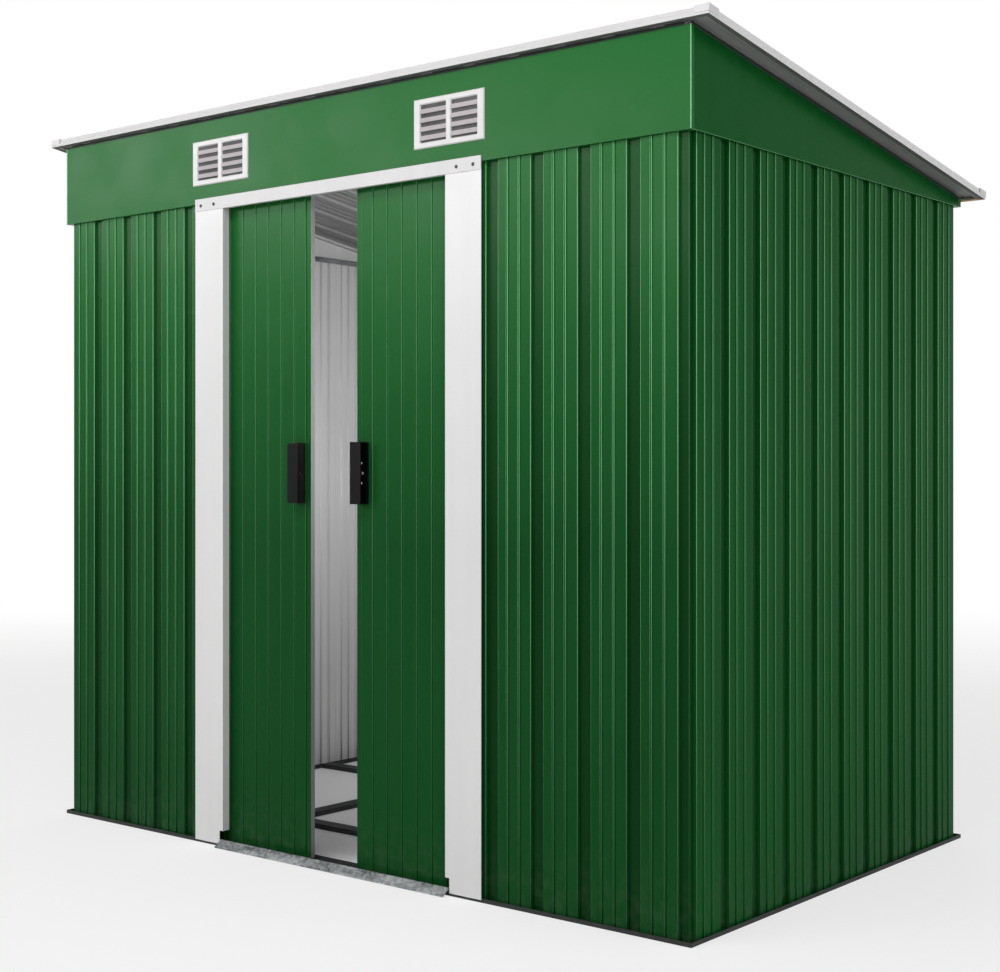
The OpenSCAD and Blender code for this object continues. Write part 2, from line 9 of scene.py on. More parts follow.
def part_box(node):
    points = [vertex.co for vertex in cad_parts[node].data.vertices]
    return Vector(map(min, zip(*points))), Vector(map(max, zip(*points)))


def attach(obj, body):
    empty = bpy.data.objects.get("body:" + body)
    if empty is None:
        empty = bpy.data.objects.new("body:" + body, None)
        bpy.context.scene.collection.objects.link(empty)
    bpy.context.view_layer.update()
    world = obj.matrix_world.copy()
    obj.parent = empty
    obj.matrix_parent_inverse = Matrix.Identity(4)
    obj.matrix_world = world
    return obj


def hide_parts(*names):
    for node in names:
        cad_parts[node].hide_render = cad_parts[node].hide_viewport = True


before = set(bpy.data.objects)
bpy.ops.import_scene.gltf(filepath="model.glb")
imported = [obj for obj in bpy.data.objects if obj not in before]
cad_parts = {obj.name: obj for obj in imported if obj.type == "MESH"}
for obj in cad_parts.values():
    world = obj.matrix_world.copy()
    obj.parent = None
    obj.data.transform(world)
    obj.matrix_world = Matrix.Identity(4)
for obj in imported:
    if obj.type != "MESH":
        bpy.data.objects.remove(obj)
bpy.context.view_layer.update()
bpy.context.scene.view_settings.view_transform = "Standard"
print("frame loaded:", len(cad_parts), "nodes")

cameraSetup = {
    "place": (2.6951, -3.2864, 0.9103),
    "turn": (math.pi / 2, 0.0, 0.6870),
    "lens": 59.52,
    "sensor": 36.0,
    "shiftUp": -0.0157,
}

lampSetup = {
    # name: (place, aimed at, width, height, power, spread in degrees)
    "keySoftbox": ((-3.2, -4.5, 2.55), (0.1, -0.6, 1.45), 4.4, 0.8, 120.0, 180.0),
    "topSoftbox": ((0.5, -2.5, 3.2), (0.4, -0.6, 1.2), 2.6, 0.6, 34.0, 180.0),
    "rightSoftbox": ((4.6, 1.2, 3.2), (0.9, 0.0, 0.9), 2.6, 2.0, 50.0, 180.0),
    "nearStrip": ((4.3, -3.4, 1.5), (0.9, -0.5, 1.0), 0.16, 2.8, 34.0, 180.0),
    "rearSoftbox": ((-2.4, 5.6, 3.4), (-0.2, 0.6, 0.9), 3.0, 2.0, 60.0, 180.0),
    "insideLamp": ((0.62, -0.22, 1.25), (-0.95, 0.2, 1.0), 0.5, 0.4, 6.6, 105.0),
}

stageSetup = {
    "floorSize": 60.0,
    "floorAlbedo": 0.88,
    "whiteFrom": 2.6,  # the floor goes over to the white backdrop between these distances
    "whiteTo": 7.5,
    "nearGlow": 0.65,
    "footprint": (0.98, 0.61),  # half sizes of the floor under the shed, which gets no glow
    "footprintBlend": 0.02,
    "floorDrop": 0.0005,
    "worldFill": 0.30,
}


def addObject(name, data):
    added = bpy.data.objects.new(name, data)
    bpy.context.scene.collection.objects.link(added)
    return added


def makeCamera(setup):
    data = bpy.data.cameras.new("camera")
    data.sensor_fit = "HORIZONTAL"
    data.sensor_width = setup["sensor"]
    data.lens = setup["lens"]
    data.shift_y = setup["shiftUp"]
    data.clip_end = 200.0
    camera = addObject("camera", data)
    camera.location = setup["place"]
    camera.rotation_euler = setup["turn"]
    bpy.context.scene.camera = camera


def makeLamps(setup):
    for name, (place, target, width, height, power, spread) in setup.items():
        data = bpy.data.lights.new(name, "AREA")
        data.shape = "RECTANGLE"
        data.size = width
        data.size_y = height
        data.energy = power
        data.spread = math.radians(spread)
        lamp = addObject(name, data)
        lamp.location = place
        aim = Vector(target) - Vector(place)
        lamp.rotation_euler = aim.to_track_quat("-Z", "Y").to_euler()
        lamp.visible_camera = False


def makeWorld(setup):
    world = bpy.data.worlds.new("paleStudio")
    bpy.context.scene.world = world
    world.use_nodes = True
    tree = world.node_tree
    tree.nodes.clear()
    fill = addNode(tree, "ShaderNodeBackground", Color=(1.0, 0.99, 0.985, 1.0),
                   Strength=setup["worldFill"])
    white = addNode(tree, "ShaderNodeBackground", Color=(1.0, 1.0, 1.0, 1.0), Strength=1.0)
    endShader(tree, "ShaderNodeOutputWorld", seenDirectly(tree), fill, white)


# Ends a shader tree with a mix of two shaders
def endShader(tree, kind, share, first, second):
    mix = tree.nodes.new("ShaderNodeMixShader")
    feed(tree, mix, (share, first.outputs[0], second.outputs[0]))
    addNode(tree, kind, Surface=mix.outputs[0])


# 1 for rays from the camera, from a gloss or through glass
def seenDirectly(tree):
    path = tree.nodes.new("ShaderNodeLightPath")
    first = mathNode(tree, "MAXIMUM", path.outputs["Is Camera Ray"], path.outputs["Is Glossy Ray"])
    return mathNode(tree, "MAXIMUM", first, path.outputs["Is Transmission Ray"])


def makeFloor(setup):
    half = setup["floorSize"] / 2
    mesh = bpy.data.meshes.new("floor")
    corners = [(-half, -half, 0), (half, -half, 0), (half, half, 0), (-half, half, 0)]
    mesh.from_pydata(corners, [], [(0, 1, 2, 3)])
    floor = addObject("floor", mesh)
    floor.location = (0, 0, -setup["floorDrop"])
    material = bpy.data.materials.new("paleFloor")
    material.use_nodes = True
    tree = material.node_tree
    tree.nodes.clear()
    matte = addNode(tree, "ShaderNodeBsdfDiffuse", Color=(setup["floorAlbedo"],) * 3 + (1.0,))
    glow = addNode(tree, "ShaderNodeEmission", Color=(1.0, 1.0, 1.0, 1.0))
    coordinates = tree.nodes.new("ShaderNodeTexCoord").outputs["Object"]
    length = addNode(tree, "ShaderNodeVectorMath", {"operation": "LENGTH"})
    tree.links.new(coordinates, length.inputs[0])
    reach = rangeNode(tree, length.outputs["Value"], setup["whiteFrom"], setup["whiteTo"],
                      setup["nearGlow"], 1.0, "SMOOTHSTEP")
    split = addNode(tree, "ShaderNodeSeparateXYZ", Vector=coordinates)
    outside = []
    for axis, edge in (("X", setup["footprint"][0]), ("Y", setup["footprint"][1])):
        distance = mathNode(tree, "ABSOLUTE", split.outputs[axis])
        outside.append(rangeNode(tree, distance, edge - setup["footprintBlend"], edge, 0.0, 1.0))
    share = mathNode(tree, "MULTIPLY", reach, seenDirectly(tree))
    share = mathNode(tree, "MULTIPLY", share, mathNode(tree, "MAXIMUM", *outside))
    endShader(tree, "ShaderNodeOutputMaterial", share, matte, glow)
    mesh.materials.append(material)


# Adds a node with its settings, and its inputs by name with _ for a space
def addNode(tree, kind, settings=None, **inputs):
    node = tree.nodes.new(kind)
    for name, value in (settings or {}).items():
        setattr(node, name, value)
    setInputs(tree, node, **inputs)
    return node


def setInputs(tree, node, **inputs):
    for name, value in inputs.items():
        socket = node.inputs[name.replace("_", " ")]
        if isinstance(value, bpy.types.NodeSocket):
            tree.links.new(value, socket)
        else:
            socket.default_value = value


def mathNode(tree, operation, *values):
    node = tree.nodes.new("ShaderNodeMath")
    node.operation = operation
    feed(tree, node, values)
    return node.outputs[0]


def feed(tree, node, values):
    for socket, value in zip(node.inputs, values):
        if isinstance(value, bpy.types.NodeSocket):
            tree.links.new(value, socket)
        elif value is not None:
            socket.default_value = value


def noiseNode(tree, coordinates, scale, detail=2.0, stretch=None):
    if stretch:
        coordinates = addNode(tree, "ShaderNodeMapping", Scale=stretch, Vector=coordinates).outputs[0]
    noise = addNode(tree, "ShaderNodeTexNoise", Scale=scale, Detail=detail, Vector=coordinates)
    return noise.outputs["Fac"]


def rangeNode(tree, value, low, high, toLow, toHigh, curve="LINEAR"):
    node = addNode(tree, "ShaderNodeMapRange", {"interpolation_type": curve})
    for name, number in (("From Min", low), ("From Max", high), ("To Min", toLow), ("To Max", toHigh)):
        node.inputs[name].default_value = number
    tree.links.new(value, node.inputs["Value"])
    return node.outputs["Result"]


def blendColours(tree, share, first, second, blend="MIX"):
    node = addNode(tree, "ShaderNodeMix", {"data_type": "RGBA", "blend_type": blend})
    for socket, value in ((node.inputs[0], share), (node.inputs[6], first), (node.inputs[7], second)):
        if isinstance(value, bpy.types.NodeSocket):
            tree.links.new(value, socket)
        else:
            socket.default_value = value if isinstance(value, float) else (*value, 1.0)
    return node.outputs[2]


def startMaterial(name):
    material = bpy.data.materials.new(name)
    material.use_nodes = True
    tree = material.node_tree
    shader = tree.nodes["Principled BSDF"]
    coordinates = tree.nodes.new("ShaderNodeTexCoord").outputs["Object"]
    return material, tree, shader, coordinates


def addBump(tree, shader, heights):
    normal = None
    for height, strength, distance in heights:
        bump = addNode(tree, "ShaderNodeBump", Strength=strength, Distance=distance, Height=height)
        if normal:
            tree.links.new(normal, bump.inputs["Normal"])
        normal = bump.outputs[0]
    tree.links.new(normal, shader.inputs["Normal"])


paintSetup = {
    # colour, a second shade, roughness, gloss, orange peel, waviness of the sheet, dust near the ground
    "greenPaint": ((0.0033, 0.078, 0.0125), (0.0046, 0.090, 0.0155), 0.26, 0.030, 0.04, 0.35, 0.06),
    # a darker, shaded copy of greenPaint for the front, which gets painted light towards its top
    "greenFront": ((0.0036, 0.058, 0.0108), (0.0050, 0.067, 0.0138), 0.26, 0.045, 0.04, 0.35, 0.06),
    "paleGreyPaint": ((0.49, 0.495, 0.49), (0.57, 0.575, 0.57), 0.46, 0.25, 0.05, 0.20, 0.08),
    # a shaded copy of whitePaint for the door header and front roof trim: painted shade
    "shadedTrimPaint": ((0.59, 0.582, 0.584), (0.63, 0.622, 0.624), 0.36, 0.20, 0.04, 0.15, 0.0),
    "whitePaint": ((0.69, 0.683, 0.686), (0.73, 0.723, 0.726), 0.34, 0.25, 0.04, 0.15, 0.05),
    "greyBackPaint": ((0.25, 0.25, 0.25), (0.30, 0.30, 0.30), 0.50, 0.15, 0.05, 0.0, 0.0),
    "shadedBackPaint": ((0.115, 0.118, 0.115), (0.15, 0.153, 0.15), 0.55, 0.10, 0.05, 0.0, 0.0),
    # a shaded copy of paleGreyPaint for the doors' returns: painted shade
    "shadedGreyEdgePaint": ((0.25, 0.255, 0.25), (0.29, 0.295, 0.29), 0.50, 0.15, 0.05, 0.0, 0.08),
    "tanPrimer": ((0.46, 0.29, 0.12), (0.52, 0.34, 0.15), 0.55, 0.30, 0.05, 0.0, 0.0),
    "darkCoating": ((0.022, 0.025, 0.024), (0.036, 0.040, 0.038), 0.50, 0.15, 0.10, 0.0, 0.06),
}

dustSetup = {"colour": (0.30, 0.29, 0.26), "height": 0.16}

toneSetup = {
    "fold": (0.26, 0.60, 0.31),  # painted highlight on the outer folds, strongest high up
    "foldFrom": 0.10,
    "foldTo": 1.35,
    "foldLow": 0.22,
    # painted shade in the ribs' valleys
    "valley": (0.50, 0.56, 0.50),
    "paintedTopLight": (0.0150, 0.134, 0.0270),  # painted light on the front, growing towards its top
    "topLightFrom": 0.75,
    "topLightTo": 1.60,
}


def makePaint(name, colour, shade, roughness, gloss, peel, wave, dust):
    material, tree, shader, coordinates = startMaterial(name)
    patches = noiseNode(tree, coordinates, 2.3, 3.0)
    streaks = noiseNode(tree, coordinates, 1.0, 2.0, stretch=(34.0, 34.0, 1.1))
    both = mathNode(tree, "MULTIPLY_ADD", streaks, 0.4, mathNode(tree, "MULTIPLY", patches, 0.6))
    surface = blendColours(tree, rangeNode(tree, both, 0.35, 0.65, 0.0, 1.0), colour, shade)
    height = addNode(tree, "ShaderNodeSeparateXYZ", Vector=coordinates).outputs["Z"]
    if name.startswith("green"):
        surface = addTones(tree, surface, height, name == "greenFront")
    if dust:
        low = rangeNode(tree, height, dustSetup["height"], 0.0, 0.0, 1.0)
        speckle = rangeNode(tree, noiseNode(tree, coordinates, 45.0, 4.0), 0.42, 0.72, 0.0, dust)
        share = mathNode(tree, "MULTIPLY", low, speckle)
        surface = blendColours(tree, share, surface, dustSetup["colour"])
    smears = noiseNode(tree, coordinates, 7.0, 3.0)
    rough = rangeNode(tree, smears, 0.3, 0.7, roughness - 0.05, roughness + 0.06)
    setInputs(tree, shader, Base_Color=surface, Roughness=rough, Specular_IOR_Level=gloss)
    grain = noiseNode(tree, coordinates, 520.0, 2.0)
    heights = [(grain, peel, 0.001)]
    if wave:
        heights.append((noiseNode(tree, coordinates, 5.5, 1.0), wave, 0.004))
    addBump(tree, shader, heights)
    return material


# Paints a highlight on outer folds, painted shade in valleys and, for the front's paint, painted light that
# grows towards the top
def addTones(tree, surface, height, paintedTopLight):
    # painted light on the front, growing towards the top
    if paintedTopLight:
        share = rangeNode(tree, height, toneSetup["topLightFrom"], toneSetup["topLightTo"], 0.0, 1.0)
        surface = blendColours(tree, share, surface, toneSetup["paintedTopLight"])
    tone = addNode(tree, "ShaderNodeAttribute", {"attribute_name": "tone"}).outputs["Fac"]
    # painted shade, darkest at a valley's bottom
    valley = rangeNode(tree, tone, 0.0, -1.0, 0.0, 1.0)
    surface = blendColours(tree, valley, surface, toneSetup["valley"], "MULTIPLY")
    # painted highlight on the outer folds, stronger higher up
    fold = rangeNode(tree, tone, 0.0, 1.0, 0.0, 0.85)
    rise = rangeNode(tree, height, toneSetup["foldFrom"], toneSetup["foldTo"], toneSetup["foldLow"], 1.0)
    return blendColours(tree, mathNode(tree, "MULTIPLY", fold, rise), surface, toneSetup["fold"])


galvanisedSetup = {
    # finish: (dark, light, spangles a metre, stretch of the stains, metallic)
    "galvanised": ((0.22, 0.235, 0.24), (0.44, 0.455, 0.46), 70.0, (1.0, 1.0, 1.0), 0.75),
    "stainedZinc": ((0.060, 0.066, 0.068), (0.36, 0.38, 0.39), 150.0, (0.35, 1.6, 1.6), 0.45),
}


def makeGalvanised(name, dark, light, spangle, stretch, metallic):
    material, tree, shader, coordinates = startMaterial(name)
    cells = addNode(tree, "ShaderNodeTexVoronoi", Scale=spangle, Vector=coordinates)
    tone = addNode(tree, "ShaderNodeSeparateColor", Color=cells.outputs["Color"])
    stains = noiseNode(tree, coordinates, 26.0, 4.0, stretch=stretch)
    share = mathNode(tree, "MULTIPLY_ADD", stains, 0.8, mathNode(tree, "MULTIPLY", tone.outputs[0], 0.2))
    colour = blendColours(tree, rangeNode(tree, share, 0.34, 0.66, 0.0, 1.0), dark, light)
    rough = rangeNode(tree, tone.outputs[1], 0.0, 1.0, 0.34, 0.52)
    setInputs(tree, shader, Base_Color=colour, Roughness=rough, Metallic=metallic)
    addBump(tree, shader, [(stains, 0.12, 0.001), (tone.outputs[2], 0.05, 0.001)])
    return material


plasticSetup = {
    # colour, second shade, roughness, gloss, grain
    "blackPlastic": ((0.0035, 0.0035, 0.0035), (0.0055, 0.0055, 0.0055), 0.42, 0.07, 0.20),
    # painted highlight on the left handle's front edge
    "highlightPlastic": ((0.45, 0.45, 0.45), (0.58, 0.58, 0.58), 0.36, 0.2, 0.10),
    # a dark sheet behind the vents' slats: painted shade
    "ventShadeDark": ((0.075, 0.073, 0.074), (0.12, 0.117, 0.118), 0.60, 0.10, 0.60),
    "whitePlastic": ((0.63, 0.62, 0.62), (0.67, 0.66, 0.66), 0.38, 0.3, 0.04),
    # a shaded copy of whitePlastic for the slats: painted shade
    "shadedSlatPlastic": ((0.40, 0.365, 0.375), (0.45, 0.41, 0.42), 0.45, 0.3, 0.05),
}


def makePlastic(name, colour, shade, roughness, gloss, grain):
    material, tree, shader, coordinates = startMaterial(name)
    cloud = noiseNode(tree, coordinates, 18.0, 3.0)
    surface = blendColours(tree, rangeNode(tree, cloud, 0.3, 0.7, 0.0, 1.0), colour, shade)
    smears = noiseNode(tree, coordinates, 60.0, 3.0)
    rough = rangeNode(tree, smears, 0.3, 0.7, roughness - 0.05, roughness + 0.07)
    setInputs(tree, shader, Base_Color=surface, Roughness=rough, Specular_IOR_Level=gloss)
    addBump(tree, shader, [(noiseNode(tree, coordinates, 1400.0, 1.0), grain, 0.0006)])
    return material


metalSetup = {
    # colour, worn colour, metallic, roughness
    "zincPlate": ((0.60, 0.61, 0.62), (0.42, 0.43, 0.44), 0.9, 0.30),
    "darkScrew": ((0.035, 0.036, 0.038), (0.10, 0.10, 0.10), 0.4, 0.42),
    # near black: painted shade in the screws' cross slots
    "screwRecess": ((0.010, 0.010, 0.011), (0.02, 0.02, 0.02), 0.2, 0.60),
}


def makeMetal(name, colour, worn, metallic, roughness):
    material, tree, shader, coordinates = startMaterial(name)
    scuffs = noiseNode(tree, coordinates, 420.0, 4.0)
    surface = blendColours(tree, rangeNode(tree, scuffs, 0.5, 0.8, 0.0, 1.0), colour, worn)
    rough = rangeNode(tree, scuffs, 0.3, 0.7, roughness - 0.06, roughness + 0.12)
    setInputs(tree, shader, Base_Color=surface, Roughness=rough, Metallic=metallic)
    addBump(tree, shader, [(noiseNode(tree, coordinates, 2600.0, 2.0), 0.10, 0.0003)])
    return material


makeCamera(cameraSetup)
makeLamps(lampSetup)
makeWorld(stageSetup)
makeFloor(stageSetup)

finishes = {}
for make, setup in ((makePaint, paintSetup), (makeGalvanised, galvanisedSetup),
                    (makePlastic, plasticSetup), (makeMetal, metalSetup)):
    finishes.update({name: make(name, *values) for name, values in setup.items()})
print("stage and", len(finishes), "finishes ready")

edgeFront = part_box("base_rail_front")[0].y
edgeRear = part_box("base_rail_rear")[1].y
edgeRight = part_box("base_rail_right")[1].x
middleY = (edgeFront + edgeRear) / 2

# Matrices that put a sheet's own frame (X along, Y inwards, Z up) on each side of the shed
sideFrames = {
    "front": Matrix.Translation((0, edgeFront, 0)),
    "rear": Matrix.Translation((0, edgeRear, 0)) @ Matrix.Rotation(math.pi, 4, "Z"),
    "right": Matrix.Translation((edgeRight, middleY, 0)) @ Matrix.Rotation(math.pi / 2, 4, "Z"),
    "left": Matrix.Scale(-1, 4, (1, 0, 0)) @ Matrix.Translation((edgeRight, middleY, 0))
            @ Matrix.Rotation(math.pi / 2, 4, "Z"),
}

rearFasciaHeight = 0.018  # of its outer face, without the flange that rises behind it
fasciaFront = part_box("front_fascia")
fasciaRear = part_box("rear_fascia")
rearRise = fasciaRear[0].z + rearFasciaHeight - fasciaFront[1].z
roofSlope = -math.atan(rearRise / (fasciaRear[1].y - fasciaFront[0].y))
roofFrame = (Matrix.Translation((0, fasciaFront[0].y, fasciaFront[1].z))
             @ Matrix.Rotation(-roofSlope, 4, "X"))


def startTree(name, inputs):
    tree = bpy.data.node_groups.new(name, "GeometryNodeTree")
    tree.is_modifier = True
    tree.interface.new_socket(name="Geometry", in_out="INPUT", socket_type="NodeSocketGeometry")
    for label, value in inputs.items():
        if isinstance(value, bpy.types.Material):
            kind = "Material"
        else:
            kind = "Int" if isinstance(value, int) else "Float"
        socket = tree.interface.new_socket(name=label, in_out="INPUT", socket_type="NodeSocket" + kind)
        socket.default_value = value
    tree.interface.new_socket(name="Geometry", in_out="OUTPUT", socket_type="NodeSocketGeometry")
    return tree, tree.nodes.new("NodeGroupInput").outputs


def vectorNode(tree, x=0.0, y=0.0, z=0.0):
    node = tree.nodes.new("ShaderNodeCombineXYZ")
    feed(tree, node, (x, y, z))
    return node.outputs[0]


def joinNode(tree, *parts):
    node = tree.nodes.new("GeometryNodeJoinGeometry")
    for part in parts:
        tree.links.new(part, node.inputs[0])
    return node.outputs[0]


def paintNode(tree, geometry, material, selection=None):
    node = addNode(tree, "GeometryNodeSetMaterial", Geometry=geometry, Material=material)
    if selection is not None:
        tree.links.new(selection, node.inputs["Selection"])
    return node.outputs[0]


def endTree(tree, geometry):
    tree.links.new(geometry, tree.nodes.new("NodeGroupOutput").inputs[0])


# Runs a tree with the given sizes on a mesh and returns the plain result
def growMesh(name, tree, sizes, points=(), faces=()):
    seedMesh = bpy.data.meshes.new(name + "Seed")
    seedMesh.from_pydata([tuple(p) for p in points], [], faces)
    seed = addObject(name + "Seed", seedMesh)
    modifier = seed.modifiers.new("grow", "NODES")
    modifier.node_group = tree
    for item in tree.interface.items_tree:
        if item.in_out == "INPUT" and item.name in sizes:
            modifier[item.identifier] = sizes[item.name]
    return takeResult(name, seed)


# The mesh that an object's modifiers make, with the object taken away
def takeResult(name, owner):
    evaluated = owner.evaluated_get(bpy.context.evaluated_depsgraph_get())
    mesh = bpy.data.meshes.new_from_object(evaluated)
    mesh.name = name
    bpy.data.objects.remove(owner)
    return mesh


def putPiece(name, mesh, body, replaced=()):
    piece = addObject(name, mesh)
    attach(piece, body)
    if replaced:
        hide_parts(*replaced)
    return piece


# Places a mesh, merges its seams and turns its faces outwards
def settleMesh(mesh, matrix):
    work = bmesh.new()
    work.from_mesh(mesh)
    bmesh.ops.remove_doubles(work, verts=work.verts, dist=1e-6)
    bmesh.ops.transform(work, matrix=matrix, verts=work.verts)
    bmesh.ops.recalc_face_normals(work, faces=work.faces)
    work.to_mesh(mesh)
    work.free()


# Rounds only the narrow strips of folds, so that the flats stay flat
def smoothFolds(mesh, narrow):
    for face in mesh.polygons:
        lengths = [(mesh.vertices[a].co - mesh.vertices[b].co).length for a, b in face.edge_keys]
        face.use_smooth = face.area < narrow * max(lengths)


# Marks outer folds with foldTone for a painted highlight, and the other faces from 0 on a rib to -1 in a
# valley for painted shade
def markTones(mesh, narrow, toSheet=None, crest=0.0, foldTone=1.0, endX=math.inf):
    work = bmesh.new()
    work.from_mesh(mesh)
    work.faces.ensure_lookup_table()
    tones = []
    for face in work.faces:
        edges = sorted(face.edges, key=lambda edge: edge.calc_length())[-2:]
        bends = [edge.calc_face_angle_signed(0.0) for edge in edges]
        # the front fascia's end strips get the painted highlight too
        isEnd = abs(face.calc_center_median().x) > endX and face.normal.y < -0.5
        if isEnd or (face.calc_area() < narrow * edges[-1].calc_length() and sum(bends) > 0.1):
            tones.append(foldTone)
            continue
        depth = 0.0 if toSheet is None else (toSheet @ face.calc_center_median()).y - crest
        tones.append(-min(max(depth / ribSetup["depth"], 0.0), 1.0))
    work.free()
    mesh.attributes.new("tone", "FLOAT", "FACE").data.foreach_set("value", tones)


ribSetup = {
    "pitch": 0.1202, "flat": 0.0875, "run": 0.003, "depth": 0.007,
    "bead A": 0.026, "bead B": 0.057, "bead width": 0.009, "bead height": 0.0025,
    "sheet": 0.001, "fold radius": 0.0016,
}

sheetSetup = {
    # piece: (CAD node, side, start of the first rib, ribs, lapped over its neighbour)
    "frontWallLeft": ("front_wall_left", "front", -0.960, 5, False),
    "frontWallRight": ("front_wall_right", "front", 0.3757, 5, False),
    "rightWallFront": ("right_wall_front", "right", -0.5815, 5, False),
    "rightWallRear": ("right_wall_rear", "right", 0.0195, 5, True),
    "leftWallFront": ("left_wall_front", "left", -0.5815, 5, False),
    "leftWallRear": ("left_wall_rear", "left", 0.0195, 5, True),
    "rearWallRight": ("rear_wall_right", "rear", -0.94525, 8, False),
    "rearWallLeft": ("rear_wall_left", "rear", 0.01635, 8, True),
}

wallDepth = 0.008  # of the ribs' flats behind the base's edge
lapWidth = 0.009
smoothBelow = 0.002  # a sheet's strips narrower than this are rounded folds
lightBelow = 0.0012  # and narrower than this they can be worn light
bevelShare = 1.2  # a rounded edge's strips are narrower than this share of its radius

roofSheetSetup = {
    "firstRib": -1.00535, "firstRibs": (0, 4, 8, 12), "lastRibs": (4, 8, 12, 17),
    "crestRise": 0.015, "back": 0.0029,
}


def ribbedSheetTree():
    sizes = {"start": 0.0, "end": 1.0, "first": 0.1, "foot": 0.0, "height": 1.0, "lap": 0.0, "crest": 0.0}
    sizes.update(ribSetup)
    tree, given = startTree("ribbedSheet", {**sizes, "ribs": 5, "outside": finishes["greenPaint"],
                                            "inside": finishes["paleGreyPaint"]})
    depth = mathNode(tree, "ADD", given["crest"], given["depth"])
    step = mathNode(tree, "MULTIPLY", given["sheet"], mathNode(tree, "GREATER_THAN", given["lap"], 0.0))
    low = mathNode(tree, "SUBTRACT", depth, step)
    lapEnd = mathNode(tree, "ADD", given["start"], given["lap"])
    beadTop = mathNode(tree, "SUBTRACT", given["crest"], given["bead height"])
    places = [
        (given["start"], low),
        (mathNode(tree, "MULTIPLY_ADD", step, 0.5, lapEnd), low),
        (mathNode(tree, "MULTIPLY_ADD", step, 1.5, lapEnd), depth),
        (mathNode(tree, "MULTIPLY", given["run"], -1.0), depth),
        (0.0, given["crest"]),
    ]
    for bead in (given["bead A"], given["bead B"]):
        for share, level in ((-0.5, given["crest"]), (-0.25, beadTop),
                             (0.25, beadTop), (0.5, given["crest"])):
            places.append((mathNode(tree, "MULTIPLY_ADD", given["bead width"], share, bead), level))
    places.append((given["flat"], given["crest"]))
    places.append((mathNode(tree, "ADD", given["flat"], given["run"]), depth))
    places.append((given["end"], depth))
    perRib = len(places) - 4  # the other points are three at the start and one at the end

    # One line of points, from the start over each rib to the end
    index = addNode(tree, "GeometryNodeInputIndex").outputs[0]
    last = mathNode(tree, "MULTIPLY_ADD", given["ribs"], float(perRib), 3.0)
    fromFirst = mathNode(tree, "SUBTRACT", index, 3.0)
    ribShare = mathNode(tree, "DIVIDE", mathNode(tree, "ADD", fromFirst, 0.25), float(perRib))
    rib = mathNode(tree, "FLOOR", ribShare)
    inRib = mathNode(tree, "MULTIPLY_ADD", rib, -float(perRib), fromFirst)
    isStart = mathNode(tree, "LESS_THAN", index, 2.5)
    isEnd = mathNode(tree, "GREATER_THAN", index, mathNode(tree, "SUBTRACT", last, 0.5))
    isRib = mathNode(tree, "SUBTRACT", mathNode(tree, "SUBTRACT", 1.0, isStart), isEnd)
    chosen = mathNode(tree, "ADD", mathNode(tree, "MULTIPLY", isStart, index),
                      mathNode(tree, "MULTIPLY", isRib, mathNode(tree, "ADD", inRib, 3.0)))
    chosen = mathNode(tree, "ADD", chosen, mathNode(tree, "MULTIPLY", isEnd, float(perRib + 3)))
    switch = tree.nodes.new("GeometryNodeIndexSwitch")
    switch.data_type = "VECTOR"
    while len(switch.index_switch_items) < len(places):
        switch.index_switch_items.new()
    tree.links.new(mathNode(tree, "ROUND", chosen), switch.inputs["Index"])
    for number, (x, y) in enumerate(places):
        tree.links.new(vectorNode(tree, x, y), switch.inputs[number + 1])
    ribPlace = mathNode(tree, "MULTIPLY_ADD", rib, given["pitch"], given["first"])
    along = mathNode(tree, "MULTIPLY", isRib, ribPlace)
    shift = addNode(tree, "ShaderNodeVectorMath", {"operation": "ADD"})
    tree.links.new(switch.outputs[0], shift.inputs[0])
    tree.links.new(vectorNode(tree, along, 0.0, given["foot"]), shift.inputs[1])
    line = addNode(tree, "GeometryNodeMeshLine", {"mode": "OFFSET"}, Count=mathNode(tree, "ADD", last, 1.0))
    placed = addNode(tree, "GeometryNodeSetPosition", Geometry=line.outputs[0], Position=shift.outputs[0])
    merged = addNode(tree, "GeometryNodeMergeByDistance", Geometry=placed.outputs[0], Distance=1e-6)

    # Rounded folds, then the sheet's height and its thickness
    curve = addNode(tree, "GeometryNodeMeshToCurve", Mesh=merged.outputs[0])
    folds = addNode(tree, "GeometryNodeFilletCurve", {"mode": "POLY"}, Curve=curve.outputs[0],
                    Count=3, Radius=given["fold radius"], Limit_Radius=True)
    edge = addNode(tree, "GeometryNodeCurveToMesh", Curve=folds.outputs[0])
    sheet = addNode(tree, "GeometryNodeExtrudeMesh", {"mode": "EDGES"}, Mesh=edge.outputs[0],
                    Offset=vectorNode(tree, 0.0, 0.0, given["height"]))
    sheet.inputs["Offset Scale"].default_value = 1.0
    thick = addNode(tree, "GeometryNodeExtrudeMesh", {"mode": "FACES"}, Mesh=sheet.outputs[0],
                    Offset_Scale=given["sheet"])
    thick.inputs["Individual"].default_value = False
    back = addNode(tree, "GeometryNodeFlipFaces", Mesh=sheet.outputs[0])
    both = joinNode(tree, thick.outputs[0], back.outputs[0])
    closed = addNode(tree, "GeometryNodeMergeByDistance", Geometry=both, Distance=1e-6)
    real = addNode(tree, "GeometryNodeRealizeInstances", Geometry=closed.outputs[0])
    painted = paintNode(tree, real.outputs[0], given["outside"])
    endTree(tree, paintNode(tree, painted, given["inside"], thick.outputs["Top"]))
    return tree


ribbedSheet = ribbedSheetTree()


def makeSheet(name, node, matrix, sizes):
    outside = finishes["greenFront" if name.startswith("front") else "greenPaint"]
    inside = finishes["greyBackPaint" if name.startswith("roof") else "paleGreyPaint"]
    mesh = growMesh(name, ribbedSheet, {**ribSetup, **sizes, "outside": outside, "inside": inside})
    settleMesh(mesh, matrix)
    smoothFolds(mesh, smoothBelow)
    markTones(mesh, lightBelow, matrix.inverted(), sizes["crest"])
    return putPiece(name, mesh, "shed", [node])


